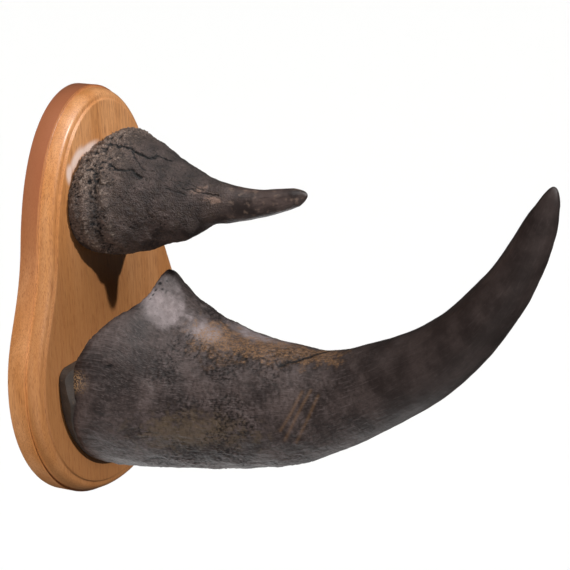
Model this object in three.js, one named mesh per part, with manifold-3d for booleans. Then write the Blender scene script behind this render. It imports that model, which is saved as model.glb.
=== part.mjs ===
// Rhinoceros horn trophy: a pear-shaped wall plaque of varnished wood that carries a large
// front horn on a dark block and a small rear horn straight on the wood above it.
// Millimetres, +Z up. The wall is the plane y = 0, and the horns point away from it along -Y.
// The origin is on the back of the plaque, on its line of symmetry.
import * as THREE from 'three';
import { mergeVertices } from 'three/addons/utils/BufferGeometryUtils.js';
import { ImprovedNoise } from 'three/addons/math/ImprovedNoise.js';
import Module from 'manifold-3d';

// Plaque: the right half of its outline, top to bottom, as three cubic curves in x and z
const PLAQUE_TOP = 223.5;
const PLAQUE_BOTTOM = -188.5;
const SHOULDER = { x: 101, z: 90 };
const LOBE = { x: 139, z: -53 };
const TOP_HANDLES = [24, PLAQUE_TOP, 84, 209];
const WAIST_HANDLES = [110.5, 22, LOBE.x, 5];
const LOBE_HANDLES = [LOBE.x, -120, 89, PLAQUE_BOTTOM];
const CURVE_STEPS = 14;

// Moulded edge of the plaque, back to front, as inset from the outline and depth from the wall
const FACE_DEPTH = 34;
const BAND_DEPTH = 18.5;
const LEDGE = { inset: 2.4, depth: 20.4 };
const BEAD = { inset: 10.2, depth: 31.8 };
const QUIRK_WIDTH = 2.2;
const FACE_INSET = 13.2;
const BEAD_STEPS = 4;

// Front horn: its upper and lower line in the plane of symmetry, rim to tip, as [y, z] pairs
// that face each other across the horn, and its half width over its half height at each pair
const FRONT_UPPER = [[-97, 25], [-102, 25.5], [-117, 9.5], [-146, -2], [-186, -9], [-230, -14],
  [-272, -15], [-315, 0], [-355, 17], [-391, 41], [-424, 74], [-440, 93], [-455, 116],
  [-468.5, 138.5], [-482, 157]];
const FRONT_LOWER = [[-42, -155], [-56, -156], [-76, -156], [-128, -151], [-185, -143], [-244, -130],
  [-301, -102], [-352, -70], [-395, -38], [-432, 1], [-463, 45], [-476.5, 71], [-488, 98], [-496, 125],
  [-499.5, 150]];
const FRONT_WIDTHS = [1.05, 1.04, 1.02, 0.96, 0.9, 0.86, 0.84, 0.83, 0.83, 0.84, 0.85, 0.86, 0.86, 0.85,
  0.85];
const FRONT_TIP = [-495, 168];
const FRONT_STATIONS = 50;
const FRONT_SEGMENTS = 40;
// A tongue of the rim stands up at its top: its height, half width and share of the horn's length
const LIP = { height: 21, spread: 18, fade: 0.27 };
// The rim is cut like a saddle: its sides reach this much nearer to the wall than a flat cut, and
// its upper shoulders nearer still, by this share of the reach
const RIM_HALF_WIDTH = 99;
const SADDLE_REACH = 21;
const SADDLE_DIP = 1.7;
const SADDLE_FADE = 0.22;
const DISH_DEPTH = 9;
const DISH_SHARES = [0.3, 0.6, 0.85, 0.96];

// Rear horn: the same lines, from its foot on the plaque to its tip
const REAR_UPPER = [[-34.4, 166], [-44, 176], [-59, 181], [-80, 176], [-103, 165], [-127, 154],
  [-148, 145], [-172, 139.5], [-197, 137.5], [-219, 139.5], [-240, 142.5]];
const REAR_LOWER = [[-34.4, 63], [-46, 61], [-60, 62], [-82, 66], [-105, 76], [-132, 84],
  [-151, 95], [-174, 102.5], [-203, 110], [-226, 117.5], [-246, 126]];
const REAR_WIDTHS = [1.31, 1.2, 1.05, 0.95, 0.9, 0.86, 0.84, 0.84, 0.84, 0.84, 0.84];
const REAR_TIP = [-254, 138];
const REAR_STATIONS = 36;
const REAR_SEGMENTS = 36;
// A tip is rounded over by more sections, at these shares of the way to its end
const TIP_SHARES = [0.35, 0.7, 0.92];

// Single lumps (raise > 0) and pits (raise < 0) of each horn: a place on the horn and a spread
const FRONT_MARKS = [
  { at: [-4, -108, 46], spread: 4, raise: 1.6 },
  { at: [-30, -100, 28], spread: 6, raise: -3 },
  { at: [8, -330, 6], spread: 7, raise: 2.5 },
  { at: [-52, -152, -40], spread: 20, raise: -2.5 },
  { at: [-92, -62, -112], spread: 10, raise: -4 },
  { at: [-64, -58, -142], spread: 9, raise: -4 },
];
const REAR_MARKS = [
  { at: [-44, -48, 158], spread: 12, raise: 2.5 },
  { at: [30, -40, 172], spread: 14, raise: 4 },
  { at: [-30, -84, 166], spread: 7, raise: -4 },
  { at: [-40, -62, 170], spread: 6, raise: -4 },
  { at: [-6, -140, 86], spread: 9, raise: -1.5 },
  { at: [-2, -158, 98], spread: 7, raise: -2 },
  { at: [-46, -60, 96], spread: 14, raise: 3 },
];
// The upper half of a base is squarer than an oval, by this power, over this share of the length
const FRONT_SQUARE = { power: 0.8, fade: 0.08 };
const REAR_SQUARE = { power: 0.9, fade: 0.3 };
// Uneven growth all over a horn: how far it stands out, in lumps of this length
const GROWTH_HEIGHT = 2.4;
const GROWTH_LENGTH = 26;
const CRUST_HEIGHT = 1.7;
const CRUST_LENGTH = 10;
// The front horn's growth is low at the cut rim, full a little way out, and low again at the tip
const FRONT_GROWTH = { rim: 0.5, gain: 8, full: 1, loss: 0.75 };
// The rear horn's growth is strongest at its foot and fades to a smooth tip
const REAR_GROWTH = { foot: 1.4, loss: 1.3, least: 0.25 };

// Block under the front horn: an outline with a level top edge and a round foot
const BLOCK_TOP = -31;
const BLOCK_HALF_WIDTH = 103;
const BLOCK_CENTRE = -50;
const BLOCK_FOOT = -155;
const BLOCK_CORNER = 12;
const BLOCK_STEPS = 12;
const BLOCK_LENGTH = 90;
// The cutter that shapes the block's front to the horn's base runs out this far past the rim
const SEAT_OVERHANG = 1.4;
const SEAT_DEPTH = 200;

// A groove round the rear horn where its growth paused, at a share of its length
const REAR_CREASE = { share: 0.21, spread: 0.02, depth: 2.4 };

// Gap left between two pieces that touch
const GAP = 0.35;

const wasm = await Module();
wasm.setup();
const noise = new ImprovedNoise();

// Mesh data from rings of equal length: walls between rings, and a fan over each end
function closedLoft(rings, startCentre, endCentre) {
  const count = rings[0].length;
  const points = rings.flat();
  const start = points.push(startCentre) - 1;
  const end = points.push(endCentre) - 1;
  const index = [];
  for (let i = 0; i < count; i += 1) {
    const next = (i + 1) % count;
    for (let r = 0; r + 1 < rings.length; r += 1) {
      const a = r * count + i;
      const b = r * count + next;
      index.push(a, b, b + count, a, b + count, a + count);
    }
    const last = (rings.length - 1) * count;
    index.push(start, next, i);
    index.push(end, last + i, last + next);
  }
  const geometry = new THREE.BufferGeometry().setFromPoints(points);
  geometry.setIndex(index);
  if (signedVolume(points, index) < 0) {
    geometry.setIndex(index.reverse());
  }
  return geometry;
}

function signedVolume(points, index) {
  let sum = 0;
  for (let i = 0; i < index.length; i += 3) {
    const cross = new THREE.Vector3().crossVectors(points[index[i + 1]], points[index[i + 2]]);
    sum += points[index[i]].dot(cross) / 6;
  }
  return sum;
}

function toSolid(geometry) {
  const bare = geometry.clone();
  bare.deleteAttribute('normal');
  bare.deleteAttribute('uv');
  const merged = mergeVertices(bare, 1e-4);
  return new wasm.Manifold(new wasm.Mesh({
    numProp: 3,
    vertProperties: new Float32Array(merged.attributes.position.array),
    triVerts: new Uint32Array(merged.index.array),
  }));
}

function toGeometry(solid) {
  const mesh = solid.getMesh();
  const geometry = new THREE.BufferGeometry();
  geometry.setAttribute('position', new THREE.BufferAttribute(mesh.vertProperties, 3));
  geometry.setIndex(new THREE.BufferAttribute(mesh.triVerts, 1));
  return geometry;
}

// Plaque

function plaqueOutline() {
  const shape = new THREE.Shape();
  const mirrored = ([x1, z1, x2, z2]) => [-x2, z2, -x1, z1];
  shape.moveTo(0, PLAQUE_TOP);
  shape.bezierCurveTo(...TOP_HANDLES, SHOULDER.x, SHOULDER.z);
  shape.bezierCurveTo(...WAIST_HANDLES, LOBE.x, LOBE.z);
  shape.bezierCurveTo(...LOBE_HANDLES, 0, PLAQUE_BOTTOM);
  shape.bezierCurveTo(...mirrored(LOBE_HANDLES), -LOBE.x, LOBE.z);
  shape.bezierCurveTo(...mirrored(WAIST_HANDLES), -SHOULDER.x, SHOULDER.z);
  shape.bezierCurveTo(...mirrored(TOP_HANDLES), 0, PLAQUE_TOP);
  return shape.getPoints(CURVE_STEPS).slice(0, -1);
}

// The outline pulled in by an inset and set at a depth in front of the wall
function plaqueRing(outline, inset, depth) {
  return outline.map((point, i) => {
    const before = outline[(i + outline.length - 1) % outline.length];
    const after = outline[(i + 1) % outline.length];
    const along = new THREE.Vector2().subVectors(after, before).normalize();
    return new THREE.Vector3(point.x + inset * along.y, -depth, point.y - inset * along.x);
  });
}

function plaqueGeometry() {
  const outline = plaqueOutline();
  const profile = [[0, 0], [0, BAND_DEPTH], [LEDGE.inset, BAND_DEPTH], [LEDGE.inset, LEDGE.depth]];
  for (let i = 1; i <= BEAD_STEPS; i += 1) {
    const turn = (i / BEAD_STEPS) * Math.PI / 2;
    const inset = BEAD.inset - (BEAD.inset - LEDGE.inset) * Math.cos(turn);
    const depth = LEDGE.depth + (BEAD.depth - LEDGE.depth) * Math.sin(turn);
    profile.push([inset, depth]);
  }
  profile.push([BEAD.inset + QUIRK_WIDTH, BEAD.depth], [FACE_INSET, FACE_DEPTH]);
  const rings = profile.map(([inset, depth]) => plaqueRing(outline, inset, depth));
  return closedLoft(rings, new THREE.Vector3(0, 0, 0), new THREE.Vector3(0, -FACE_DEPTH, 0));
}

// Horns

function alongLine(pairs) {
  return new THREE.SplineCurve(pairs.map(([y, z]) => new THREE.Vector2(y, z)));
}

// How far the skin of a horn stands out at a point, by uneven growth and by its single marks
function skinHeight(point, marks, strength) {
  const at = (length) => noise.noise(point.x / length, point.y / length, point.z / length);
  let height = strength * (GROWTH_HEIGHT * at(GROWTH_LENGTH) + CRUST_HEIGHT * at(CRUST_LENGTH));
  for (const { at: [x, y, z], spread, raise } of marks) {
    const distance = point.distanceTo(new THREE.Vector3(x, y, z));
    height += raise * Math.exp(-0.5 * (distance / spread) ** 2);
  }
  return height;
}

function creaseDepth({ share, spread, depth }, at) {
  return depth * Math.exp(-0.5 * ((at - share) / spread) ** 2);
}

// How far out the edge of a section lies in one direction: 1 all round, or more at the corners
// where the section is squarer than an oval
function edgeReach(side, rise, square) {
  const power = rise > 0 ? square : 1;
  return (Math.abs(side) ** (2 / power) + Math.abs(rise) ** (2 / power)) ** (-power / 2);
}

// Share of the saddle's reach in one direction: none at the top and bottom, most at the shoulders
function saddleShare(side, rise) {
  return side * side * (1 + SADDLE_DIP * Math.max(0, rise));
}

// One cross-section of a horn, at a share of its length: an oval in the plane of its two lines
function hornRing(horn, share) {
  const top = horn.upper.getPoint(share);
  const bottom = horn.lower.getPoint(share);
  const centre = new THREE.Vector2().addVectors(top, bottom).multiplyScalar(0.5);
  const up = new THREE.Vector2().subVectors(top, bottom).multiplyScalar(0.5);
  const halfWidth = up.length() * horn.widths.getPoint(share).y;
  const saddle = horn.saddle * Math.max(0, 1 - share / SADDLE_FADE) ** 2;
  const square = THREE.MathUtils.lerp(1, horn.square.power, Math.max(0, 1 - share / horn.square.fade));
  const lip = horn.lip ? horn.lip.height * Math.max(0, 1 - (share / horn.lip.fade) ** 3) : 0;
  const ring = [];
  for (let i = 0; i < horn.segments; i += 1) {
    const turn = (i / horn.segments) * 2 * Math.PI;
    const reach = edgeReach(Math.sin(turn), Math.cos(turn), square);
    const side = reach * Math.sin(turn);
    const rise = reach * Math.cos(turn);
    const point = new THREE.Vector3(halfWidth * side, centre.x + up.x * rise, centre.y + up.y * rise);
    const out = new THREE.Vector3(side, up.x * rise / up.length(), up.y * rise / up.length());
    point.y += saddle * saddleShare(side, rise);
    if (lip > 0 && rise > 0) {
      point.z += lip * Math.exp(-0.5 * (point.x / horn.lip.spread) ** 2);
    }
    const crease = horn.crease ? creaseDepth(horn.crease, share) : 0;
    const height = skinHeight(point, horn.marks, horn.roughness(share)) - crease;
    ring.push(point.addScaledVector(out, height));
  }
  return ring;
}

function hornRings(horn) {
  const rings = [];
  for (let i = 0; i < horn.stations; i += 1) {
    rings.push(hornRing(horn, i / (horn.stations - 1)));
  }
  return rings;
}

// The last section drawn in towards the end of the tip
function tipRings(ring, tip) {
  const middle = ring.reduce((sum, point) => sum.add(point), new THREE.Vector3()).divideScalar(ring.length);
  return TIP_SHARES.map((share) => ring.map((point) => {
    const spoke = new THREE.Vector3().subVectors(point, middle).multiplyScalar(Math.sqrt(1 - share));
    return spoke.add(middle).addScaledVector(new THREE.Vector3().subVectors(tip, middle), share);
  }));
}

// Depth of the front horn's base behind a point of it: a tilted plane bent to a saddle, dished
function baseDepth(x, z) {
  const [topY, topZ] = FRONT_UPPER[0];
  const [bottomY, bottomZ] = FRONT_LOWER[0];
  const halfHeight = (topZ - bottomZ) / 2;
  const rise = (z - (topZ + bottomZ) / 2) / halfHeight;
  const side = x / RIM_HALF_WIDTH;
  const plane = (topY + bottomY) / 2 + rise * (topY - bottomY) / 2;
  const dish = DISH_DEPTH * (1 - rise * rise - side * side);
  return plane + SADDLE_REACH * saddleShare(side, rise) - dish;
}

// The rim drawn in or out to a share of its size, and laid on the surface of the base
function baseRing(rim, share) {
  const middle = (FRONT_UPPER[0][1] + FRONT_LOWER[0][1]) / 2;
  return rim.map((point) => {
    const x = point.x * share;
    const z = middle + (point.z - middle) * share;
    return new THREE.Vector3(x, baseDepth(x, z), z);
  });
}

function baseCentre() {
  const middle = (FRONT_UPPER[0][1] + FRONT_LOWER[0][1]) / 2;
  return new THREE.Vector3(0, baseDepth(0, middle), middle);
}

function frontGrowth(share) {
  const { rim, gain, full, loss } = FRONT_GROWTH;
  return Math.min(rim + gain * share, full - loss * share);
}

function rearGrowth(share) {
  const { foot, loss, least } = REAR_GROWTH;
  return foot * Math.max(least, 1 - loss * share);
}

const frontHorn = {
  upper: alongLine(FRONT_UPPER),
  lower: alongLine(FRONT_LOWER),
  widths: alongLine(FRONT_WIDTHS.map((width, i) => [i, width])),
  saddle: SADDLE_REACH,
  stations: FRONT_STATIONS,
  segments: FRONT_SEGMENTS,
  marks: FRONT_MARKS,
  roughness: frontGrowth,
  crease: null,
  lip: LIP,
  square: FRONT_SQUARE,
};

const rearHorn = {
  upper: alongLine(REAR_UPPER),
  lower: alongLine(REAR_LOWER),
  widths: alongLine(REAR_WIDTHS.map((width, i) => [i, width])),
  saddle: 0,
  stations: REAR_STATIONS,
  segments: REAR_SEGMENTS,
  marks: REAR_MARKS,
  roughness: rearGrowth,
  crease: REAR_CREASE,
  lip: null,
  square: REAR_SQUARE,
};

const frontRings = hornRings(frontHorn);
const rim = baseRing(frontRings[0], 1);
const hollow = DISH_SHARES.map((share) => baseRing(rim, share));

function frontHornGeometry() {
  const tip = new THREE.Vector3(0, FRONT_TIP[0], FRONT_TIP[1]);
  const rounded = tipRings(frontRings.at(-1), tip);
  return closedLoft([...hollow, rim, ...frontRings.slice(1), ...rounded], baseCentre(), tip);
}

function rearHornGeometry() {
  const rings = hornRings(rearHorn);
  const [footY, topZ] = REAR_UPPER[0];
  rings[0].forEach((point) => point.setY(footY));
  const foot = new THREE.Vector3(0, footY, (topZ + REAR_LOWER[0][1]) / 2);
  const tip = new THREE.Vector3(0, REAR_TIP[0], REAR_TIP[1]);
  return closedLoft([...rings, ...tipRings(rings.at(-1), tip)], foot, tip);
}

// Block under the front horn

function blockOutline() {
  const side = BLOCK_HALF_WIDTH;
  const shape = new THREE.Shape();
  shape.moveTo(BLOCK_CORNER - side, BLOCK_TOP);
  shape.lineTo(side - BLOCK_CORNER, BLOCK_TOP);
  shape.quadraticCurveTo(side, BLOCK_TOP, side, BLOCK_TOP - BLOCK_CORNER);
  shape.absellipse(0, BLOCK_CENTRE, side, BLOCK_CENTRE - BLOCK_FOOT, 0, -Math.PI, true);
  shape.lineTo(-side, BLOCK_TOP - BLOCK_CORNER);
  shape.quadraticCurveTo(-side, BLOCK_TOP, BLOCK_CORNER - side, BLOCK_TOP);
  return shape;
}

function blockGeometry() {
  const options = { depth: BLOCK_LENGTH, bevelEnabled: false, curveSegments: BLOCK_STEPS };
  const prism = new THREE.ExtrudeGeometry(blockOutline(), options);
  prism.rotateX(Math.PI / 2);
  prism.translate(0, -FACE_DEPTH - GAP, 0);
  const seat = [...hollow, rim, baseRing(rim, SEAT_OVERHANG)].map((ring) => {
    return ring.map((point) => point.clone().setY(point.y + GAP));
  });
  const front = seat[seat.length - 1].map((point) => point.clone().setY(-SEAT_DEPTH));
  const centre = baseCentre();
  const back = centre.clone().setY(centre.y + GAP);
  const cutter = closedLoft([...seat, front], back, centre.clone().setY(-SEAT_DEPTH));
  return toGeometry(toSolid(prism).subtract(toSolid(cutter)));
}

// Materials

const varnishedWood = new THREE.MeshStandardMaterial({ color: 0xc98a4b, roughness: 0.35, metalness: 0 });
const darkHorn = new THREE.MeshStandardMaterial({ color: 0x3b3230, roughness: 0.55, metalness: 0 });
const brownHorn = new THREE.MeshStandardMaterial({ color: 0x41352f, roughness: 0.65, metalness: 0 });
const darkPaint = new THREE.MeshStandardMaterial({ color: 0x35322f, roughness: 0.6, metalness: 0 });

// Trophy

function piece(name, geometry, material) {
  const mesh = new THREE.Mesh(geometry, material);
  mesh.name = name;
  return mesh;
}

const trophy = new THREE.Group();
trophy.add(piece('plaque', plaqueGeometry(), varnishedWood));
trophy.add(piece('base_block', blockGeometry(), darkPaint));
trophy.add(piece('front_horn', frontHornGeometry(), darkHorn));
trophy.add(piece('rear_horn', rearHornGeometry(), brownHorn));

export default trophy;
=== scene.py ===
import math

import bmesh
import bpy
import numpy as np
from mathutils import Matrix, Vector, geometry, noise


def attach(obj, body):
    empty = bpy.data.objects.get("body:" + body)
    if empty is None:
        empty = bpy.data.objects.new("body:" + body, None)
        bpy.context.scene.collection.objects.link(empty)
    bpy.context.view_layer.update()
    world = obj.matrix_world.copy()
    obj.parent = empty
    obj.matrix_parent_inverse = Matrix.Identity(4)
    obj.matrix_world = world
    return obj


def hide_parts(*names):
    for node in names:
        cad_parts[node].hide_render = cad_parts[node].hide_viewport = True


# Two rhinoceros horns on a pear-shaped wall plaque. The scene is in metres and the sizes below in
# millimetres, +Z up. The wall is the plane y = 0, and the horns stand out from it along -Y.
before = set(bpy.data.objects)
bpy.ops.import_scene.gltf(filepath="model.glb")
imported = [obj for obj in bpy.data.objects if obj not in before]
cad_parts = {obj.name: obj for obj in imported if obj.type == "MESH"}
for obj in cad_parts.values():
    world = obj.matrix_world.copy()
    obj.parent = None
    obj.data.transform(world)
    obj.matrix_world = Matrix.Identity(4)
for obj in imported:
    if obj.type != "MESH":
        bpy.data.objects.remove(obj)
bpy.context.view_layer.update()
MM = 0.001

# Plaque: one board of light hardwood, sawn to the shape of a pear. A cutter run round its front
# edge left a square side band, a ledge, a round bead and a groove in front of the flat face.
# It is stained honey brown and varnished.
BOARD_TOP = (0, 223.5)
BOARD_SHOULDER = (101, 90)
BOARD_LOBE = (139, -53)
BOARD_BOTTOM = (0, -188.5)
BOARD_CURVES = [
    (BOARD_TOP, (24, 223.5), (84, 209), BOARD_SHOULDER),
    (BOARD_SHOULDER, (110.5, 22), (139, 5), BOARD_LOBE),
    (BOARD_LOBE, (139, -120), (89, -188.5), BOARD_BOTTOM),
]
BOARD_CURVE_POINTS = 60
BOARD_FACE = 34
BAND_DEPTH = 18.5
LEDGE_WIDTH = 2.4
LEDGE_RISE = 1.9
BEAD_WIDTH = 7.8
BEAD_HEIGHT = 11.4
BEAD_STEPS = 9
GROOVE_WIDTH = 2.2
GROOVE_SLOPE = 0.8
FLAT_MARGIN = 2
BOARD_EDGE = 0.5
BOARD_EDGE_ANGLE = 40


def metres(*millimetres):
    return tuple(value * MM for value in millimetres)


def board_outline():
    right = []
    for curve in BOARD_CURVES:
        ends = [Vector(metres(x, 0, z)) for x, z in curve]
        right += geometry.interpolate_bezier(*ends, BOARD_CURVE_POINTS)[:-1]
    left = [Vector((-place.x, 0, place.z)) for place in reversed(right[1:])]
    return right + [Vector(metres(BOARD_BOTTOM[0], 0, BOARD_BOTTOM[1]))] + left


def drawn_face(bm, outline):
    """A face whose corners lie on the outline."""
    ring = bmesh.ops.create_circle(bm, cap_ends=True, segments=len(outline), radius=1)
    for vert, place in zip(ring["verts"], outline):
        vert.co = place
    face = ring["verts"][0].link_faces[0]
    face.normal_update()
    return face


def pulled_out(bm, face):
    """The face extruded on the spot, with its corners in order. None is left inside the body."""
    inside = len(face.edges[0].link_faces) > 1
    made = bmesh.ops.extrude_face_region(bm, geom=[face])["geom"]
    if inside and face.is_valid:
        bmesh.ops.delete(bm, geom=[face], context="FACES_ONLY")
    return next(item for item in made if isinstance(item, bmesh.types.BMFace))


def moved_out(bm, face, distance):
    front = pulled_out(bm, face)
    bmesh.ops.translate(bm, verts=front.verts, vec=(0, -distance * MM, 0))
    front.normal_update()
    return front


def drawn_in(bm, face, width, rise):
    bmesh.ops.inset_region(bm, faces=[face], thickness=width * MM, depth=rise * MM,
                           use_even_offset=True)
    face.normal_update()


def soft_edges(bm, angle, width, segments):
    """Every edge sharper than the angle is rounded over, as sanding leaves it."""
    sharp = [e for e in bm.edges if e.calc_face_angle(0) > math.radians(angle)]
    bmesh.ops.bevel(bm, geom=sharp, offset=width * MM, segments=segments, profile=0.5, affect="EDGES",
                    material=-1)


def finished(bm, name, smooth_angle=None):
    """The mesh as an object of its own, with its faces outwards."""
    bmesh.ops.recalc_face_normals(bm, faces=bm.faces)
    mesh = bpy.data.meshes.new(name)
    bm.to_mesh(mesh)
    bm.free()
    mesh.shade_smooth()
    if smooth_angle:
        mesh.set_sharp_from_angle(angle=math.radians(smooth_angle))
    piece = bpy.data.objects.new(name, mesh)
    bpy.context.scene.collection.objects.link(piece)
    return piece


def moulded_board():
    bm = bmesh.new()
    back = drawn_face(bm, board_outline())
    if back.normal.y < 0:
        back.normal_flip()
    front = moved_out(bm, back, BAND_DEPTH)
    front.normal_flip()
    drawn_in(bm, front, LEDGE_WIDTH, 0)
    front = moved_out(bm, front, LEDGE_RISE)
    for step in range(BEAD_STEPS):
        start = step / BEAD_STEPS * math.pi / 2
        end = (step + 1) / BEAD_STEPS * math.pi / 2
        width = BEAD_WIDTH * (math.cos(start) - math.cos(end))
        drawn_in(bm, front, width, BEAD_HEIGHT * (math.sin(end) - math.sin(start)))
    drawn_in(bm, front, GROOVE_WIDTH, 0)
    rise = BOARD_FACE - BAND_DEPTH - LEDGE_RISE - BEAD_HEIGHT
    drawn_in(bm, front, GROOVE_SLOPE, rise)
    soft_edges(bm, BOARD_EDGE_ANGLE, BOARD_EDGE, 2)
    for face in sorted(bm.faces, key=lambda face: face.calc_area())[-2:]:
        bmesh.ops.inset_region(bm, faces=[face], thickness=FLAT_MARGIN * MM, depth=0)
    return finished(bm, "varnished_board", 50)


plaque = moulded_board()
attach(plaque, "root")
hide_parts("plaque")

# Honey-stained hardwood under satin varnish: fine straight grain from top to bottom, short dark
# pores, painted shade that browns the face towards the foot, and a painted pale glow, a painted
# reflection in the varnish, where the board meets the upper horn.
WOOD_DARK = "#8a5127"
WOOD_MID = "#bd7c42"
WOOD_LIGHT = "#d89c68"
WOOD_PAINTED_SHADE = "#9a683c"
WOOD_BAND = "#97583a"
WOOD_PORE = "#70401f"
WOOD_PAINTED_GLOW = "#f0dcd2"
# Pattern widths. Real pores and fibres are about half as wide, which is too fine to show
GRAIN_STRETCH = 0.02
PORE_STRETCH = 0.07
STRIPE_WIDTH = 2.2
FIBRE_WIDTH = 0.6
PORE_WIDTH = 0.7
CLOUD_WIDTH = 30
# Painted shade on the face and bead grows from this height down to this one
SHADE_FROM = 180
SHADE_TO = 20
# Painted pale glow, a painted reflection in the varnish: centre, half sizes, turn
PAINTED_GLOW_PATCHES = [
    ((-62, -34, 152), (6, 12, 12), (0, 0, 0)),
    ((-49, -34, 163), (19, 12, 7.5), (0, -40, 0)),
    ((-26, -34, 169), (22, 12, 6.5), (0, -8, 0)),
]
# A patch is full out to this share of its size and gone at the other, and its edge wanders by this
PATCH_CORE = 0.25
PATCH_END = 1.1
EDGE_SHIFT = 0.35
SMOOTH = {"interpolation_type": "SMOOTHSTEP"}


def linear(colour):
    """A hex sRGB colour as the linear RGBA that shaders take."""
    values = [int(colour[i:i + 2], 16) / 255 for i in (1, 3, 5)]
    return tuple(v / 12.92 if v <= 0.04045 else ((v + 0.055) / 1.055) ** 2.4 for v in values) + (1,)


def node(tree, kind, inputs=None, output=0, **settings):
    """Adds a node and gives one of its outputs. Each input is a value, or an output to link."""
    made = tree.nodes.new("ShaderNode" + kind)
    for name, value in settings.items():
        setattr(made, name, value)
    for socket, value in (inputs or {}).items():
        if isinstance(value, bpy.types.NodeSocket):
            tree.links.new(value, made.inputs[socket])
        else:
            made.inputs[socket].default_value = value
    return made.outputs[output] if made.outputs else None


def blank_material(name):
    material = bpy.data.materials.new(name)
    material.use_nodes = True
    material.node_tree.nodes.clear()
    return material, material.node_tree


def layered(tree, tone, layers):
    """Colours laid one over another. Each layer has its colour, strength and mask, and it may have a
    pattern too, with the two values of the pattern between which the colour sets in."""
    for colour, strength, mask, *pattern in layers:
        share = node(tree, "Math", {0: strength, 1: mask}, operation="MULTIPLY")
        if pattern:
            seen = node(tree, "MapRange", dict(enumerate(pattern)), **SMOOTH)
            share = node(tree, "Math", {0: share, 1: seen}, operation="MULTIPLY")
        tone = node(tree, "Mix", {0: share, 6: tone, 7: linear(colour)}, 2, data_type="RGBA",
                    clamp_factor=True)
    return tone


def speckle(tree, places, width, detail=2, stretch=(1, 1, 1)):
    """Noise with lumps of this width in millimetres, drawn out where stretch is below 1."""
    scaled = node(tree, "Mapping", {"Vector": places, "Scale": stretch})
    return node(tree, "TexNoise", {"Vector": scaled, "Scale": 1 / (width * MM), "Detail": detail}, "Fac")


def patch(tree, places, centre, size, edge, turn):
    """1 in the middle of an oval patch that fades out at its size, its edge made uneven."""
    settings = {"Vector": places, "Location": metres(*centre), "Scale": metres(*size),
                "Rotation": tuple(math.radians(angle) for angle in turn)}
    scaled = node(tree, "Mapping", settings, vector_type="TEXTURE")
    reach = node(tree, "VectorMath", {0: scaled}, "Value", operation="LENGTH")
    if edge is not None:
        shift = node(tree, "MapRange", {0: edge, 1: 0.3, 2: 0.7, 3: -EDGE_SHIFT, 4: EDGE_SHIFT}, **SMOOTH)
        reach = node(tree, "Math", {0: reach, 1: shift}, operation="ADD")
    return node(tree, "MapRange", {0: reach, 1: PATCH_END, 2: PATCH_CORE}, **SMOOTH)


def patches(tree, places, listed, edge=None):
    """The sum of several patches, at most 1."""
    total = 0.0
    for centre, size, turn in listed:
        one = patch(tree, places, centre, size, edge, turn)
        total = node(tree, "Math", {0: one, 1: total}, operation="ADD")
    return node(tree, "Math", {0: total, 1: 1.0}, operation="MINIMUM")


def wood_material():
    material, tree = blank_material("honey hardwood, satin varnish")
    places = node(tree, "TexCoord", output="Object")
    cloud = speckle(tree, places, CLOUD_WIDTH, 3, (1, 1, 0.12))
    fibre = speckle(tree, places, FIBRE_WIDTH, 3, (1, 1, GRAIN_STRETCH))
    stripe = speckle(tree, places, STRIPE_WIDTH, 3, (1, 1, GRAIN_STRETCH))
    pores = speckle(tree, places, PORE_WIDTH, 1, (1, 1, PORE_STRETCH))
    across, depth, height = node(tree, "SeparateXYZ", {0: places}).node.outputs
    bead_start, bead_full = -(BAND_DEPTH + 1) * MM, -(BAND_DEPTH + 3) * MM
    face_start, face_full = -(BOARD_FACE - 2) * MM, -(BOARD_FACE - 1) * MM
    bead = node(tree, "MapRange", {0: depth, 1: bead_start, 2: bead_full, 4: 0.7}, **SMOOTH)
    face = node(tree, "MapRange", {0: depth, 1: face_start, 2: face_full, 4: 0.25}, **SMOOTH)
    front = node(tree, "Math", {0: bead, 1: face}, operation="ADD")
    left = node(tree, "MapRange", {0: across, 1: -20 * MM, 2: 60 * MM, 3: 1, 4: 0.65}, **SMOOTH)
    high = node(tree, "MapRange", {0: height, 1: -20 * MM, 2: 170 * MM, 3: 0.1, 4: 0.9}, **SMOOTH)
    painted_glow = patches(tree, places, PAINTED_GLOW_PATCHES)
    tone = layered(tree, linear(WOOD_MID), [
        (WOOD_LIGHT, 1, 1, cloud, 0.3, 0.7),
        # painted shade: brown laid on the face and bead, stronger towards the foot
        (WOOD_PAINTED_SHADE, front, left, height, SHADE_FROM * MM, SHADE_TO * MM),
        (WOOD_DARK, 0.3, 1, stripe, 0.45, 0.75),
        (WOOD_DARK, 0.5, 1, fibre, 0.42, 0.72),
        (WOOD_PORE, 0.5, 1, pores, 0.57, 0.68),
        (WOOD_BAND, 1, high, depth, bead_start, -(BAND_DEPTH - 1) * MM),
        # painted reflection: a pale glow in the varnish by the upper horn
        (WOOD_PAINTED_GLOW, 0.7, painted_glow),
    ])
    relief = node(tree, "Math", {0: fibre, 1: 0.6, 2: pores}, operation="MULTIPLY_ADD")
    bump = node(tree, "Bump", {"Height": relief, "Strength": 0.12, "Distance": 0.25 * MM}, invert=True)
    rough = node(tree, "MapRange", {0: fibre, 1: 0.2, 2: 0.8, 3: 0.4, 4: 0.55}, **SMOOTH)
    shader = node(tree, "BsdfPrincipled",
                  {"Base Color": tone, "Roughness": rough, "IOR": 1.5, "Coat Weight": 0.5,
                   "Coat Roughness": 0.28, "Coat IOR": 1.5, "Normal": bump})
    node(tree, "OutputMaterial", {"Surface": shader})
    return material


plaque.data.materials.append(wood_material())

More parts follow.
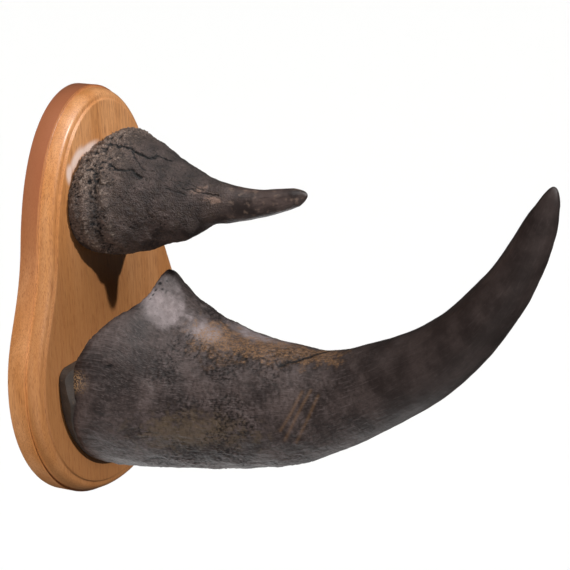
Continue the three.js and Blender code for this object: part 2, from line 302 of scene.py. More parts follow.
# Base block: a shaped wooden block between the board and the front horn, with a level top edge
# and a round foot. Its front is cut to the horn's base, and it is painted dark grey-brown.
FRONT_UPPER = [(-97, 25), (-102, 25.5), (-117, 9.5), (-146, -2), (-186, -9), (-230, -14), (-272, -15),
               (-315, 0), (-355, 17), (-391, 41), (-424, 74), (-440, 93), (-455, 116), (-468.5, 138.5),
               (-482, 157)]
FRONT_LOWER = [(-42, -155), (-56, -156), (-76, -156), (-128, -151), (-185, -143), (-244, -130),
               (-301, -102), (-352, -70), (-395, -38), (-432, 1), (-463, 45), (-476.5, 71), (-488, 98),
               (-496, 125), (-499.5, 150)]
RIM_HALF_WIDTH = 99
SADDLE_REACH = 21
SADDLE_DIP = 1.7
DISH_DEPTH = 9
BLOCK_TOP = -31
BLOCK_HALF_WIDTH = 103
BLOCK_CENTRE = -50
BLOCK_FOOT = -155
BLOCK_CORNER = 12
BLOCK_CURVE_POINTS = 60
BLOCK_RINGS = [1, 0.985, 0.93, 0.8, 0.6, 0.35, 0.1]
BLOCK_START = 5
BLOCK_EDGE = 1.1
BLOCK_EDGE_ANGLE = 55
SEAM = 0.2


def base_depth(x, z):
    """How far the front horn's base stands from the wall: a tilted plane, bent and dished."""
    top, bottom = FRONT_UPPER[0], FRONT_LOWER[0]
    rise = (z - (top[1] + bottom[1]) / 2) / ((top[1] - bottom[1]) / 2)
    side = x / RIM_HALF_WIDTH
    plane = (top[0] + bottom[0]) / 2 + rise * (top[0] - bottom[0]) / 2
    saddle = SADDLE_REACH * side * side * (1 + SADDLE_DIP * max(rise, 0))
    return plane + saddle - DISH_DEPTH * (1 - rise * rise - side * side)


def block_outline():
    side, top, corner = BLOCK_HALF_WIDTH, BLOCK_TOP, BLOCK_CORNER
    right = []
    for step in range(6):
        right.append((step / 6 * (side - corner), top))
    for step in range(8):
        turn = step / 8 * math.pi / 2
        right.append((side - corner * (1 - math.sin(turn)), top - corner * (1 - math.cos(turn))))
    for step in range(4):
        right.append((side, top - corner + step / 4 * (BLOCK_CENTRE - top + corner)))
    for step in range(BLOCK_CURVE_POINTS):
        turn = step / BLOCK_CURVE_POINTS * math.pi / 2
        foot = (BLOCK_FOOT - BLOCK_CENTRE) * math.sin(turn)
        right.append((side * math.cos(turn), BLOCK_CENTRE + foot))
    left = [(-x, z) for x, z in reversed(right[1:])]
    return [Vector(metres(x, -BOARD_FACE - SEAM, z)) for x, z in right + [(0, BLOCK_FOOT)] + left]


def seated_block():
    bm = bmesh.new()
    back = drawn_face(bm, block_outline())
    if back.normal.y < 0:
        back.normal_flip()
    front = moved_out(bm, back, BLOCK_START)
    front.normal_flip()
    outline = [(vert.co.x / MM, vert.co.z / MM) for vert in front.verts]
    for share in BLOCK_RINGS:
        for vert, (x, z) in zip(front.verts, outline):
            x, z = x * share, BLOCK_CENTRE + (z - BLOCK_CENTRE) * share
            vert.co = metres(x, base_depth(x, z) + SEAM, z)
        front = pulled_out(bm, front)
    centre = metres(0, base_depth(0, BLOCK_CENTRE), BLOCK_CENTRE)
    bmesh.ops.pointmerge(bm, verts=front.verts, merge_co=centre)
    soft_edges(bm, BLOCK_EDGE_ANGLE, BLOCK_EDGE, 3)
    return finished(bm, "painted_block", 50)


block = seated_block()
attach(block, "root")
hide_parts("base_block")

# Wood under matt grey-brown paint, brushed on thinly: low brush lines from the board to the horn,
# and small lighter specks where the paint is dusty or rubbed.
PAINT_DARK = "#2f2823"
PAINT_MID = "#3a312b"
PAINT_WORN = "#63503f"
PAINT_CLOUD = 16
BRUSH_LINE = 1.4
BRUSH_STRETCH = 0.07
DUST_WIDTH = 2.2


def paint_material():
    material, tree = blank_material("matt dark paint on wood")
    places = node(tree, "TexCoord", output="Object")
    cloud = speckle(tree, places, PAINT_CLOUD, 4)
    brush = speckle(tree, places, BRUSH_LINE, 2, (1, BRUSH_STRETCH, 1))
    dust = speckle(tree, places, DUST_WIDTH, 3)
    tone = layered(tree, linear(PAINT_DARK), [
        (PAINT_MID, 1, 1, cloud, 0.35, 0.65),
        (PAINT_DARK, 0.4, 1, brush, 0.5, 0.75),
        (PAINT_WORN, 0.5, 1, dust, 0.6, 0.75),
    ])
    relief = node(tree, "Math", {0: brush, 1: dust}, operation="ADD")
    bump = node(tree, "Bump", {"Height": relief, "Strength": 0.5, "Distance": 0.3 * MM})
    rough = node(tree, "MapRange", {0: dust, 1: 0.3, 2: 0.7, 3: 0.55, 4: 0.75}, **SMOOTH)
    shader = node(tree, "BsdfPrincipled",
                  {"Base Color": tone, "Roughness": rough, "IOR": 1.5, "Normal": bump})
    node(tree, "OutputMaterial", {"Surface": shader})
    return material


block.data.materials.append(paint_material())

# Front horn: one solid growth of keratin fibres, as hair and hoof are. Its rim is cut like a
# saddle with a tongue at the top, its base is crusted and pitted, and it is worn smooth outwards.
FRONT_WIDTHS = [1.05, 1.04, 1.02, 0.96, 0.9, 0.86, 0.84, 0.83, 0.83, 0.84, 0.85, 0.86, 0.86, 0.85,
                0.85]
FRONT_TIP = (0, -495, 168)
FRONT_SEGMENTS = 300
FRONT_STEP = 1.85
LIP_HEIGHT = 21
LIP_SPREAD = 18
LIP_FADE = 0.27
SADDLE_FADE = 0.22
FRONT_SQUARE = (0.8, 0.08)
# A tip is rounded over by more sections, at these shares of the way to its end
TIP_SHARES = [0.12, 0.26, 0.42, 0.58, 0.72, 0.84, 0.93, 0.98]
DISH_RINGS = [0.985, 0.95, 0.9, 0.84, 0.76, 0.66, 0.54, 0.4, 0.25, 0.1]
LINE_SAMPLES = 1500
# A crack or scrape marks the skin this near to its line, and not the far side of the horn
LINE_REACH = 12
# Lumps and hollows: place on the horn, spread, and how far it stands out
FRONT_MARKS = [
    ((-1, -111, 44), 4.5, 5),
    ((-1, -116, 42), 3.5, 4),
    ((-1, -121, 33), 3, -2.8),
    ((-30, -100, 28), 6, -2),
    ((-9, -345, 11), 6, 1.6),
    ((-52, -152, -40), 20, -2.5),
    ((-92, -62, -112), 8, -3),
    ((-64, -58, -142), 7, -3),
    ((4, -271, -15), 14, 1.2),
    ((-15, -249, -20), 9, -1.2),
    ((-95, -77, -76), 3, -0.7),
    ((-88, -86, -22), 5, 1.0),
    ((20, -120, 2), 12, 1.5),
    ((70, -90, -30), 16, 1.5),
    ((84, -100, -100), 14, -1.5),
]
# Small holes near the top of the rim
FRONT_PITS = [
    ((-16, -100, 39), 1.4, -1.6), ((-19, -104, 34), 1.2, -1.6), ((-10, -104, 39), 1.1, -1.2),
    ((-17, -107, 31), 1.2, -1.6), ((-23, -99, 35), 1.3, -1.6), ((-26, -98, 31), 1.1, -1.4),
    ((-30, -97, 27), 1.1, -1.1), ((-21, -101, 38), 1, -1.2), ((-14, -110, 33), 1, -1),
]
FRONT_CRACKS = [
    ([(-94, -76, -18), (-91, -81, -25), (-88, -86, -23)], 1.5, 1.6),
    ([(-26, -233, -25), (-15, -249, -20), (4, -271, -16)], 2.2, 0.9),
]
FRONT_SCRAPES = [
    [(-36, -270, -40), (-43, -262, -58), (-45, -246, -90)],
    [(-38, -262, -42), (-45, -254, -61), (-49, -243, -81)],
    [(-37, -278, -44), (-42, -270, -65), (-41, -256, -92)],
]


def line_place(line, share):
    """A place on the smooth line through the given ones, at a share of the way along it."""
    last = len(line) - 1
    step = min(int(share * last), last - 1)
    t = share * last - step
    before, start, end, after = (np.array(line[min(max(k, 0), last)], float)
                                 for k in (step - 1, step, step + 1, step + 2))
    leave = (end - before) / 2
    reach = (after - start) / 2
    return ((2 * start - 2 * end + leave + reach) * t ** 3
            + (3 * end - 3 * start - 2 * leave - reach) * t ** 2 + leave * t + start)


def even_shares(upper, lower, step):
    """Shares of the length that lie this many millimetres apart on the horn's middle line."""
    fine = np.linspace(0, 1, LINE_SAMPLES)
    middle = np.array([(line_place(upper, s) + line_place(lower, s)) / 2 for s in fine])
    lengths = np.concatenate([[0], np.cumsum(np.linalg.norm(np.diff(middle, axis=0), axis=1))])
    count = int(lengths[-1] / step)
    marks = np.linspace(0, lengths[-1], count)
    return list(zip(np.interp(marks, lengths, fine), marks))


def horn_section(horn, share):
    """Corners of a cross-section, and its mean radius. Its top may be squarer than an oval."""
    top, bottom = line_place(horn["upper"], share), line_place(horn["lower"], share)
    centre, up = (top + bottom) / 2, (top - bottom) / 2
    height = np.linalg.norm(up)
    half_width = height * line_place(horn["widths"], share)
    power, fade = horn["square"]
    power += (1 - power) * min(1, share / fade)
    saddle = horn["saddle"] * max(0, 1 - share / SADDLE_FADE) ** 2
    lip = horn["lip"] * max(0, 1 - (share / LIP_FADE) ** 3)
    corners = []
    for i in range(horn["segments"]):
        turn = i / horn["segments"] * 2 * math.pi
        side, rise = math.sin(turn), math.cos(turn)
        if rise > 0:
            reach = (abs(side) ** (2 / power) + rise ** (2 / power)) ** (-power / 2)
            side *= reach
            rise *= reach
        x = half_width * side
        y = centre[0] + up[0] * rise + saddle * side * side * (1 + SADDLE_DIP * max(rise, 0))
        z = centre[1] + up[1] * rise
        if rise > 0:
            z += lip * math.exp(-0.5 * (x / LIP_SPREAD) ** 2)
        corners.append((x, y, z))
    return corners, (height + half_width) / 2


def horn_mesh(horn, base_rings, tip):
    """The sections drawn out one after another from the base to the tip."""
    bm = bmesh.new()
    grain = bm.verts.layers.float_vector.new("grain")
    face = None
    turns = [i / horn["segments"] * 2 * math.pi for i in range(horn["segments"])]
    sections = [(ring, 0.0, radius) for ring, radius in base_rings]
    for share, length in even_shares(horn["upper"], horn["lower"], horn["step"]):
        corners, radius = horn_section(horn, share)
        sections.append((corners, length, radius))
    for corners, length, radius in sections:
        outline = [Vector(metres(*corner)) for corner in corners]
        if face is None:
            face = drawn_face(bm, outline)
            back = face
        else:
            face = pulled_out(bm, face)
            for vert, place in zip(face.verts, outline):
                vert.co = place
        for vert, turn in zip(face.verts, turns):
            vert[grain] = metres(radius * math.sin(turn), radius * math.cos(turn), length)
    middle = np.mean(corners, axis=0)
    for share in TIP_SHARES:
        face = pulled_out(bm, face)
        for vert, corner in zip(face.verts, corners):
            place = middle + (corner - middle) * math.sqrt(1 - share) + (np.array(tip) - middle) * share
            vert.co = metres(*place)
            vert[grain] = metres(*(corner - middle)[[0, 2]], length)
    bmesh.ops.poke(bm, faces=[back])
    point = bmesh.ops.poke(bm, faces=[face])["verts"][0]
    point.co = metres(*tip)
    point[grain] = metres(0, 0, length)
    return bm


def front_base_rings(rim):
    """The hollow base, from its middle out to the rim."""
    middle = (FRONT_UPPER[0][1] + FRONT_LOWER[0][1]) / 2
    rings = []
    for share in reversed(DISH_RINGS):
        ring = [(x * share, middle + (z - middle) * share) for x, y, z in rim]
        rings.append(([(x, base_depth(x, z), z) for x, z in ring], RIM_HALF_WIDTH * share))
    return rings


def field(places, width, octaves=1, stretch=(1, 1, 1), shift=0):
    """Uneven growth at each place, about -1 to 1, in lumps of this width in millimetres."""
    scaled = places * (np.array(stretch) / (width * MM)) + shift
    return np.array([noise.fractal(place, 1.0, 2.0, octaves) for place in scaled.tolist()])


def cells(places, width):
    """How far each place is from the seam between two grains of this width: 0 on the seam."""
    scaled = places * (1 / (width * MM))
    found = (noise.voronoi(place)[0] for place in scaled.tolist())
    return np.array([near[1] - near[0] for near in found])


def spots(places, marks):
    """The sum of soft lumps and hollows, in millimetres."""
    total = np.zeros(len(places))
    for centre, spread, rise in marks:
        distance = np.linalg.norm(places - np.array(centre) * MM, axis=1) / (spread * MM)
        total += rise * np.exp(-0.5 * distance ** 2)
    return total


def near_line(places, normals, line, width):
    """1 along a line on the skin, fading to 0 to either side of it."""
    nearest = np.full(len(places), np.inf)
    for start, end in zip(line, line[1:]):
        a, b = np.array(start) * MM, np.array(end) * MM
        share = np.clip((places - a) @ (b - a) / ((b - a) @ (b - a)), 0, 1)
        offset = places - a - share[:, None] * (b - a)
        deep = (offset * normals).sum(1)
        offset -= deep[:, None] * normals
        distance = np.linalg.norm(offset, axis=1) + np.where(np.abs(deep) > LINE_REACH * MM, 1, 0)
        nearest = np.minimum(nearest, distance)
    return np.exp(-(nearest / (width * MM)) ** 2)


def faded(values, start, end):
    """0 before start and 1 past end, smooth between them."""
    share = np.clip((values - start) / (end - start), 0, 1)
    return share * share * (3 - 2 * share)


def read_vectors(data, key):
    flat = np.zeros(len(data) * 3, np.float32)
    data.foreach_get(key, flat)
    return flat.reshape(-1, 3).astype(float)


def read_skin(mesh):
    """Each corner's place, the way it faces, and where it lies in the grain of the horn."""
    return (read_vectors(mesh.vertices, "co"), read_vectors(mesh.vertex_normals, "vector"),
            read_vectors(mesh.attributes["grain"].data, "vector"))


def write_floats(mesh, name, values):
    mesh.attributes.new(name, "FLOAT", "POINT").data.foreach_set("value", values.astype(np.float32))


def raise_skin(mesh, places, normals, heights):
    """Moves each corner out by its height in millimetres."""
    moved = places + normals * (heights * MM)[:, None]
    mesh.vertices.foreach_set("co", moved.astype(np.float32).ravel())
    mesh.update()


def front_horn_piece():
    horn = {"upper": FRONT_UPPER, "lower": FRONT_LOWER, "widths": FRONT_WIDTHS, "square": FRONT_SQUARE,
            "saddle": SADDLE_REACH, "lip": LIP_HEIGHT, "segments": FRONT_SEGMENTS, "step": FRONT_STEP}
    rim = horn_section(horn, 0)[0]
    bm = horn_mesh(horn, front_base_rings(rim), FRONT_TIP)
    piece = finished(bm, "front_horn_keratin")
    mesh = piece.data
    places, normals, grain = read_skin(mesh)
    along = grain[:, 2] / MM
    wear = faded(along, 300, 120)
    growth = (1.1 * field(places, 28, 2) + 0.6 * field(places, 9, 3, shift=31)) * (0.2 + 0.8 * wear)
    crust = faded(field(places, 34, 2, shift=7), -0.25, 0.2)
    crust *= faded(along, 18, 60) * faded(along, 260, 120)
    grains = 0.9 * crust * (faded(cells(places, 4.2), 0.02, 0.3) - 0.7)
    fibres = (0.12 + 0.3 * wear) * field(grain, 3.6, 2, (1, 1, 0.2), 3)
    rim_wear = np.exp(-along / 5) * (0.8 * field(places, 4, 2, shift=11) - 0.3)
    cracks = sum(near_line(places, normals, line, width) * depth for line, width, depth in FRONT_CRACKS)
    scrapes = sum(near_line(places, normals, line, 1.3) for line in FRONT_SCRAPES)
    heights = (growth + grains + fibres + rim_wear + spots(places, FRONT_MARKS)
               + spots(places, FRONT_PITS) - cracks - 0.35 * scrapes)
    raise_skin(mesh, places, normals, heights)
    pits = np.clip(-spots(places, FRONT_PITS) - 0.3, 0, 1)
    # Low places on the skin, which the material darkens with painted shade
    write_floats(mesh, "hollow", np.clip(cracks / 1.5 + pits - 0.6 * (grains + fibres), -1, 1))
    write_floats(mesh, "crust", crust)
    write_floats(mesh, "scrape", np.clip(scrapes, 0, 1))
    write_floats(mesh, "rim", np.exp(-along / 2.5))
    write_floats(mesh, "smooth", faded(along, 190, 330))
    return piece


front_horn = front_horn_piece()
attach(front_horn, "root")
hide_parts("front_horn")

# Dry dark keratin, unpolished: grey-brown with fine fibres along the horn and a salt-and-pepper
# grain, ochre where the crust has weathered, a painted soft grey sheen (a painted reflection) on the
# rubbed patches, and darker, smoother and a little glossier in its outer half. Painted shade darkens
# its pits, cracks and some patches on its flanks and base, and a painted highlight lightens the
# raised grain between the pits.
HORN_DARK = "#261e1c"
HORN_MID = "#463b38"
HORN_GREY = "#625654"
HORN_OCHRE = "#8c6744"
HORN_OLIVE = "#594a38"
HORN_PAINTED_SHEEN = "#a09393"
HORN_OUTER_AND_SHADE = "#221a18"
HORN_TAN = "#a5835f"
HORN_HOLLOW_SHADE = "#0e0908"
# Pattern widths. A real filament of horn is under half a millimetre wide, so filaments and grit
# are drawn coarser than that, to show at all
HORN_CLOUD = 26
HORN_MOTTLE = 7
HORN_STREAK = 5
HORN_PITTING = 3.2
HORN_GRIT = 1.6
HORN_FILAMENT = 1.3
FILAMENT_STRETCH = 0.07
# Patches of colour: centre, half sizes, turn
OCHRE_PATCHES = [
    ((-22, -172, -8), (30, 42, 26), (0, 0, 0)),
    ((-10, -226, -14), (28, 56, 18), (0, 0, 0)),
    ((-4, -272, -16), (20, 34, 12), (0, 0, 0)),
]
# Rubbed patches, with fewer pits, carrying a painted grey sheen that stands for a reflection
RUBBED_AND_SHEEN_PATCHES = [
    ((-24, -110, 19), (25, 26, 30), (0, 0, 0)),
    ((-20, -150, -2), (18, 36, 14), (0, 0, 0)),
    ((6, -196, -8), (22, 60, 12), (0, 0, 0)),
]
OLIVE_PATCHES = [((-66, -160, -92), (34, 80, 26), (0, 0, 0))]
# Painted shade: dark patches along the flanks, at the base's left and under it
PAINTED_SHADE_PATCHES = [
    ((-34, -345, -30), (34, 66, 17), (40, 0, 0)),
    ((-24, -425, 40), (30, 70, 18), (50, 0, 0)),
    ((-54, -190, -112), (38, 54, 18), (0, 0, 0)),
    ((-58, -92, -22), (40, 46, 34), (0, 0, 0)),
]
SEAM_PATCHES = [((-101, -54, -42), (14, 16, 15), (0, 0, 0))]


def front_horn_material():
    material, tree = blank_material("dry dark horn, unpolished")
    places = node(tree, "TexCoord", output="Object")
    grain = node(tree, "Attribute", output="Vector", attribute_name="grain")
    crust, hollow, smooth, scrape, rim = (node(tree, "Attribute", output="Fac", attribute_name=name)
                                          for name in ("crust", "hollow", "smooth", "scrape", "rim"))
    cloud = speckle(tree, places, HORN_CLOUD, 5)
    mottle = speckle(tree, places, HORN_MOTTLE, 5)
    pepper = speckle(tree, places, HORN_GRIT, 3)
    pitting = speckle(tree, places, HORN_PITTING, 4)
    fibre = speckle(tree, grain, HORN_FILAMENT, 3, (1, 1, FILAMENT_STRETCH))
    streak = speckle(tree, grain, HORN_STREAK, 4, (1, 1, 0.1))
    coarse = node(tree, "MapRange", {0: smooth, 3: 1, 4: 0.25}, **SMOOTH)
    olive = patches(tree, places, OLIVE_PATCHES, mottle)
    rubbed_and_sheen = patches(tree, places, RUBBED_AND_SHEEN_PATCHES, cloud)
    ochre = patches(tree, places, OCHRE_PATCHES, mottle)
    dark = patches(tree, places, PAINTED_SHADE_PATCHES, cloud)
    seam = patches(tree, places, SEAM_PATCHES)
    sheen = node(tree, "MapRange", {0: mottle, 1: 0.3, 2: 0.7, 3: 0.42, 4: 0.66}, **SMOOTH)
    sand = node(tree, "MapRange", {0: pepper, 1: 0.4, 2: 0.62, 4: 0.55}, **SMOOTH)
    strands = node(tree, "MapRange", {0: fibre, 1: 0.4, 2: 0.6, 4: 0.3}, **SMOOTH)
    grit = node(tree, "Math", {0: sand, 1: strands}, operation="ADD")
    outside_rubbed_sheen = node(tree, "MapRange", {0: rubbed_and_sheen, 2: 0.8, 3: 1, 4: 0.15}, **SMOOTH)
    rugged = node(tree, "MapRange", {0: crust, 3: 0.45}, **SMOOTH)
    clean = node(tree, "Math", {0: coarse, 1: outside_rubbed_sheen}, operation="MULTIPLY")
    clean = node(tree, "Math", {0: clean, 1: rugged}, operation="MULTIPLY")
    tone = layered(tree, linear(HORN_DARK), [
        (HORN_MID, 1, 1, cloud, 0.32, 0.68),
        (HORN_GREY, 0.3, coarse, mottle, 0.48, 0.72),
        (HORN_DARK, 0.5, 1, streak, 0.5, 0.8),
        (HORN_OLIVE, 0.6, olive),
        # painted sheen: a light grey reflection painted on the rubbed patches
        (HORN_PAINTED_SHEEN, sheen, rubbed_and_sheen),
        (HORN_OCHRE, grit, ochre),
        (HORN_OUTER_AND_SHADE, 0.55, smooth),
        # painted shade on the flanks and the base
        (HORN_OUTER_AND_SHADE, 0.8, dark),
        # painted shade in the pits of the grain, and a painted highlight on the raised grain beside them
        (HORN_HOLLOW_SHADE, 0.8, clean, pitting, 0.47, 0.66),
        (HORN_GREY, 0.35, clean, pitting, 0.44, 0.3),
        (HORN_DARK, 0.4, 1, pepper, 0.55, 0.75),
        (HORN_GREY, 0.4, coarse, fibre, 0.52, 0.75),
        (HORN_OCHRE, 0.22, scrape),
        (HORN_TAN, rim, seam, pepper, 0.46, 0.58),
        # painted shade in the cracks and small holes
        (HORN_HOLLOW_SHADE, 1, 1, hollow, 0.05, 0.7),
    ])
    relief = node(tree, "Math", {0: pitting, 1: -1.6, 2: fibre}, operation="MULTIPLY_ADD")
    relief = node(tree, "Math", {0: pepper, 1: 0.8, 2: relief}, operation="MULTIPLY_ADD")
    crusty = node(tree, "MapRange", {0: crust, 3: 0.6}, **SMOOTH)
    strength = node(tree, "Math", {0: crusty, 1: coarse}, operation="MULTIPLY")
    bump = node(tree, "Bump", {"Height": relief, "Strength": strength, "Distance": 1.1 * MM})
    rough = node(tree, "MapRange", {0: smooth, 3: 0.6, 4: 0.48}, **SMOOTH)
    shader = node(tree, "BsdfPrincipled",
                  {"Base Color": tone, "Roughness": rough, "IOR": 1.54, "Specular IOR Level": 0.35,
                   "Normal": bump})
    node(tree, "OutputMaterial", {"Surface": shader})
    return material


front_horn.data.materials.append(front_horn_material())

# Rear horn: the smaller second horn, cut off flat behind and fixed straight on the board. Its base
# is a crust of coarse grains with long drying cracks, and its slim tip is worn smooth.
REAR_UPPER = [(-34.1, 166), (-44, 176), (-59, 181), (-80, 176), (-103, 165), (-127, 154), (-148, 145),
              (-172, 139.5), (-197, 137.5), (-219, 139.5), (-240, 142.5)]
REAR_LOWER = [(-34.1, 63), (-46, 61), (-60, 62), (-82, 66), (-105, 76), (-132, 84), (-151, 95),
              (-174, 102.5), (-203, 110), (-226, 117.5), (-246, 126)]
REAR_WIDTHS = [1.31, 1.2, 1.05, 0.95, 0.9, 0.86, 0.84, 0.84, 0.84, 0.84, 0.84]
REAR_TIP = (0, -254, 138)
REAR_SEGMENTS = 340
REAR_STEP = 0.85
REAR_SQUARE = (0.9, 0.3)
# The flat base has one ring inside its edge: its share of the size, and the height it shrinks to
REAR_BASE_RING = (0.6, 115)
REAR_MARKS = [
    ((-44, -48, 158), 12, 1),
    ((30, -40, 172), 14, 4),
    ((-30, -84, 166), 5, -2),
    ((-6, -140, 86), 9, -1.5),
    ((-2, -158, 98), 7, -2),
    ((-46, -60, 96), 14, 2.5),
    ((-10, -148, 97), 5, -1.8),
    ((-20, -138, 96), 7, 1.6),
]
REAR_CRACKS = [
    ([(-25, -58, 176), (-26, -69, 173), (-21, -78, 170), (-21, -90, 164), (-19, -98, 162),
      (-11, -101, 164), (-6, -114, 160)], 0.95, 2.8),
    ([(-21, -78, 170), (-30, -92, 160), (-31, -99, 155)], 0.8, 1.2),
    ([(-45, -70, 159), (-43, -77, 157), (-36, -89, 154), (-36, -97, 148)], 0.85, 1.8),
    ([(-24, -122, 145), (-17, -137, 141), (-14, -153, 136)], 0.7, 0.8),
    ([(-23, -129, 140), (-18, -145, 135), (-14, -167, 132)], 0.7, 0.9),
    ([(-30, -119, 137), (-23, -137, 132)], 0.7, 0.8),
]
# How far the cracks and creases wander from their lines
REAR_WANDER = 2.2
# Soft rings round the base, where growth slowed down for a while
REAR_CREASES = [
    ([(-50, -56, 150), (-58, -58, 138), (-61, -60, 128), (-61, -60, 115), (-58, -61, 99), (-50, -62, 84),
      (-38, -66, 72)], 4.5, 1.5),
    ([(-52, -49, 150), (-61, -50, 138), (-65, -51, 126), (-65, -51, 112), (-61, -52, 96), (-53, -53, 82),
      (-40, -56, 68)], 4, -1.1),
    ([(-55, -66, 140), (-57, -68, 126), (-57, -69, 110), (-52, -70, 92), (-42, -74, 76)], 3.5, -0.9),
]


def rear_horn_piece():
    horn = {"upper": REAR_UPPER, "lower": REAR_LOWER, "widths": REAR_WIDTHS, "square": REAR_SQUARE,
            "saddle": 0, "lip": 0, "segments": REAR_SEGMENTS, "step": REAR_STEP}
    foot, radius = horn_section(horn, 0)
    share, middle = REAR_BASE_RING
    inner = [(share * x, y, middle + share * (z - middle)) for x, y, z in foot]
    base = [(inner, share * radius)]
    bm = horn_mesh(horn, base, REAR_TIP)
    piece = finished(bm, "rear_horn_keratin")
    mesh = piece.data
    places, normals, grain = read_skin(mesh)
    along = grain[:, 2] / MM
    high = faded(places[:, 2] / MM, 118, 160)
    rough = faded(along, 62, 18) * (0.35 + 0.65 * high)
    mid = faded(along, 150, 70)
    growth = 1.3 * field(places, 22, 2) * (0.3 + 0.7 * mid) + 0.8 * field(places, 8, 2, shift=13) * mid
    grains = (1.1 * rough * (faded(cells(places, 3.8), 0.02, 0.35) - 0.6)
              + 2.0 * rough * field(places, 3.2, 3, shift=17))
    split = 1 - np.abs(field(grain, 4, 3, (1, 1, 0.14), 5)) / 0.07
    splits = np.clip(split, 0, 1) * faded(field(places, 14, 1, shift=23), -0.15, 0.2) * mid
    fibres = (0.1 + 0.35 * mid) * field(grain, 2.2, 2, (1, 1, 0.16), 3)
    wander = np.stack([field(places, 7, 3, shift=shift) for shift in (1, 5, 9)], 1)
    moved = places + REAR_WANDER * MM * wander
    cracks = sum(near_line(moved, normals, line, width) * depth for line, width, depth in REAR_CRACKS)
    creases = sum(near_line(moved, normals, line, width) * depth for line, width, depth in REAR_CREASES)
    heights = growth + grains + fibres + spots(places, REAR_MARKS) - cracks - creases - 0.8 * splits
    heights[along < 0.01] = 0
    raise_skin(mesh, places, normals, heights)
    # Low places for painted shade, and raised grain for a painted highlight
    hollow = cracks / 1.6 + 0.7 * splits + 0.16 * creases - 0.5 * (grains + fibres)
    write_floats(mesh, "hollow", np.clip(hollow, -1, 1))
    write_floats(mesh, "crust", rough)
    write_floats(mesh, "worn", faded(along, 110, 170))
    return piece


rear_horn = rear_horn_piece()
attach(rear_horn, "root")
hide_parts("rear_horn")

# The same keratin, browner and drier: dull and grainy at the base, with long fibres and a few tan
# rubs in the middle, and slightly glossy at the tip.
# Painted shade darkens its cracks, creases and the dips between its grains, and a painted highlight
# lightens the raised grains.
REAR_DARK = "#271f1d"
REAR_MID = "#4c3f3b"
REAR_DRY = "#9a8171"
REAR_TAN = "#8f7465"
REAR_PAINTED_HIGHLIGHT = "#9c897c"
REAR_CLOUD = 18
REAR_MOTTLE = 5
REAR_GRIT = 1.5
REAR_FILAMENT = 1.1
REAR_TAN_PATCHES = [
    ((-16, -163, 128), (7, 9, 6), (0, 0, 0)),
    ((-16, -148, 136), (8, 12, 3.5), (-20, 0, 0)),
]


def rear_horn_material():
    material, tree = blank_material("dry brown horn, grainy base")
    places = node(tree, "TexCoord", output="Object")
    grain = node(tree, "Attribute", output="Vector", attribute_name="grain")
    crust, hollow, worn = (node(tree, "Attribute", output="Fac", attribute_name=name)
                           for name in ("crust", "hollow", "worn"))
    cloud = speckle(tree, places, REAR_CLOUD, 5)
    mottle = speckle(tree, places, REAR_MOTTLE, 4)
    pepper = speckle(tree, places, REAR_GRIT, 3)
    fibre = speckle(tree, grain, REAR_FILAMENT, 3, (1, 1, 0.06))
    tan = patches(tree, places, REAR_TAN_PATCHES, mottle)
    unworn = node(tree, "MapRange", {0: worn, 3: 1, 4: 0.1}, **SMOOTH)
    inner = node(tree, "MapRange", {0: worn, 3: 1, 4: 0}, **SMOOTH)
    crumbly = node(tree, "MapRange", {0: crust, 2: 0.6, 3: 0.4}, **SMOOTH)
    dotted = node(tree, "Math", {0: inner, 1: crumbly}, operation="MULTIPLY")
    tone = layered(tree, linear(REAR_DARK), [
        (REAR_MID, 1, 1, cloud, 0.32, 0.68),
        (REAR_DRY, 1, crust, pepper, 0.35, 0.65),
        (REAR_DRY, 0.35, 1, mottle, 0.5, 0.75),
        (REAR_TAN, 0.55, tan),
        # painted shade in the dips of the mottled relief
        (HORN_HOLLOW_SHADE, 0.6, unworn, mottle, 0.52, 0.62),
        (REAR_DARK, 0.7, 1, fibre, 0.5, 0.72),
        # painted highlight on the raised grains and ridges
        (REAR_PAINTED_HIGHLIGHT, 0.5, 1, hollow, -0.06, -0.5),
        # painted shade in the cracks, splits and creases, and in the dips between grains
        (HORN_HOLLOW_SHADE, 1, 1, hollow, 0.05, 0.6),
        (HORN_HOLLOW_SHADE, 0.75, dotted, pepper, 0.5, 0.62),
    ])
    relief = node(tree, "Math", {0: pepper, 1: -1.8, 2: fibre}, operation="MULTIPLY_ADD")
    relief = node(tree, "Math", {0: mottle, 1: -1.5, 2: relief}, operation="MULTIPLY_ADD")
    strength = node(tree, "MapRange", {0: worn, 3: 1, 4: 0.2}, **SMOOTH)
    bump = node(tree, "Bump", {"Height": relief, "Strength": strength, "Distance": 1.0 * MM})
    rough = node(tree, "MapRange", {0: worn, 3: 0.68, 4: 0.42}, **SMOOTH)
    shader = node(tree, "BsdfPrincipled",
                  {"Base Color": tone, "Roughness": rough, "IOR": 1.54, "Normal": bump})
    node(tree, "OutputMaterial", {"Surface": shader})
    return material


rear_horn.data.materials.append(rear_horn_material())

# Studio: a pale floor well below the trophy, two lights in front of the board and above it that the
# big horn doesn't shade, and wide soft ones overhead, on the left, behind and from below.
FLOOR_HEIGHT = -700
FLOOR_REACH = 30000
FLOOR_TONE = "#f6f6f5"
# Each lamp: where it shines from (azimuth and elevation), its strength, and how wide it looks
LAMPS = [
    ("front_lamp", 0, 31, 2.7, 1.5),
    ("upper_softbox", -15, 59, 1.0, 35),
    ("top_softbox", -85, 68, 1.1, 60),
    ("side_softbox", -97, -3, 2.3, 40),
    ("back_softbox", 160, -61, 2.0, 60),
    ("low_softbox", -60, -35, 0.2, 50),
]
SKY_LIGHT = 0.04
SKY_SEEN = 1.0


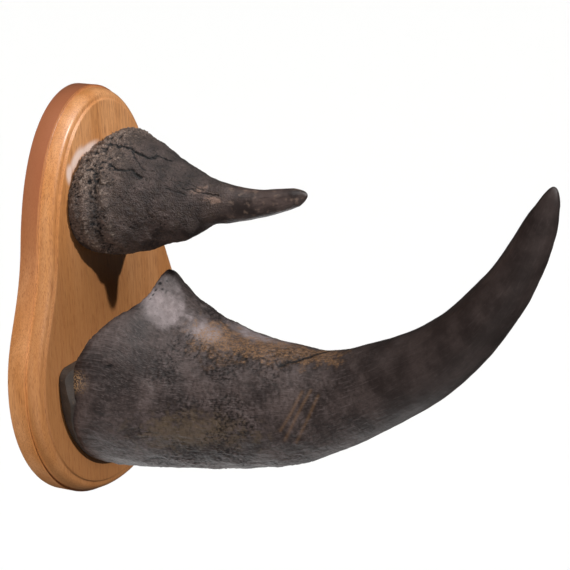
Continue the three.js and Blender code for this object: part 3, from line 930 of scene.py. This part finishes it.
def pale_floor():
    bm = bmesh.new()
    bmesh.ops.create_grid(bm, x_segments=4, y_segments=4, size=FLOOR_REACH * MM)
    bmesh.ops.translate(bm, verts=bm.verts, vec=metres(0, 0, FLOOR_HEIGHT))
    floor = finished(bm, "floor")
    material, tree = blank_material("pale paper")
    shader = node(tree, "BsdfPrincipled", {"Base Color": linear(FLOOR_TONE), "Roughness": 0.9})
    node(tree, "OutputMaterial", {"Surface": shader})
    floor.data.materials.append(material)
    floor.visible_diffuse = False
    floor.visible_glossy = False
    floor.visible_shadow = False


def direction(azimuth, elevation):
    """The way from the trophy to a place round it: azimuth 0 is straight in front of the board."""
    a, e = math.radians(azimuth), math.radians(elevation)
    return Vector((math.sin(a) * math.cos(e), -math.cos(a) * math.cos(e), math.sin(e)))


def lamp(name, azimuth, elevation, strength, width):
    data = bpy.data.lights.new(name, "SUN")
    data.energy = strength
    data.angle = math.radians(width)
    light = bpy.data.objects.new(name, data)
    light.rotation_mode = "QUATERNION"
    light.rotation_quaternion = direction(azimuth, elevation).to_track_quat("Z", "Y")
    bpy.context.scene.collection.objects.link(light)
    return light


def shaded_by(light, pieces):
    """Only these pieces cast a shadow in this light."""
    blockers = bpy.data.collections.new(light.name + " blockers")
    for piece in pieces:
        blockers.objects.link(piece)
    light.light_linking.blocker_collection = blockers


def shines_on(light, pieces):
    """Only these pieces are lit by this light."""
    lit = bpy.data.collections.new(light.name + " pieces")
    for piece in pieces:
        lit.objects.link(piece)
    light.light_linking.receiver_collection = lit


def sky():
    world = bpy.data.worlds.new("studio")
    world.use_nodes = True
    tree = world.node_tree
    tree.nodes.clear()
    seen = node(tree, "LightPath", output="Is Camera Ray")
    strength = node(tree, "MapRange", {0: seen, 3: SKY_LIGHT, 4: SKY_SEEN}, **SMOOTH)
    shader = node(tree, "Background", {"Color": (1, 1, 1, 1), "Strength": strength})
    node(tree, "OutputWorld", {"Surface": shader})
    bpy.context.scene.world = world


pale_floor()
sky()
lamps = {settings[0]: lamp(*settings) for settings in LAMPS}
for name in ("front_lamp", "upper_softbox"):
    shaded_by(lamps[name], [plaque, block, rear_horn])
# The side light gives no highlight of its own, and the light from behind doesn't reach the board
lamps["side_softbox"].visible_glossy = False
shines_on(lamps["back_softbox"], [front_horn, rear_horn, block])
bpy.context.scene.view_settings.view_transform = "Standard"

# Camera: to the left of the board and a little above it, as in the photograph, at the height and
# distance that put the whole trophy in a frame of 570 by 570 pixels.
VIEW_AZIMUTH = -62
VIEW_ELEVATION = 17.886
VIEW_ROLL = -1.95
VIEW_DISTANCE = 2000
VIEW_RIGHT = 200.5
VIEW_UP = 18.8
FRAME_PIXELS = 570
SENSOR_WIDTH = 36


def photo_camera():
    back = direction(VIEW_AZIMUTH, VIEW_ELEVATION)
    level = Vector((math.cos(math.radians(VIEW_AZIMUTH)), math.sin(math.radians(VIEW_AZIMUTH)), 0))
    turn = Matrix.Rotation(math.radians(VIEW_ROLL), 3, back)
    right = turn @ level
    up = back.cross(right)
    data = bpy.data.cameras.new("camera")
    data.sensor_width = SENSOR_WIDTH
    data.lens = VIEW_DISTANCE / FRAME_PIXELS * SENSOR_WIDTH
    camera = bpy.data.objects.new("camera", data)
    place = (VIEW_DISTANCE * back + VIEW_RIGHT * right + VIEW_UP * up) * MM
    camera.matrix_world = Matrix.Translation(place) @ Matrix((right, up, back)).transposed().to_4x4()
    bpy.context.scene.collection.objects.link(camera)
    bpy.context.scene.camera = camera


photo_camera()
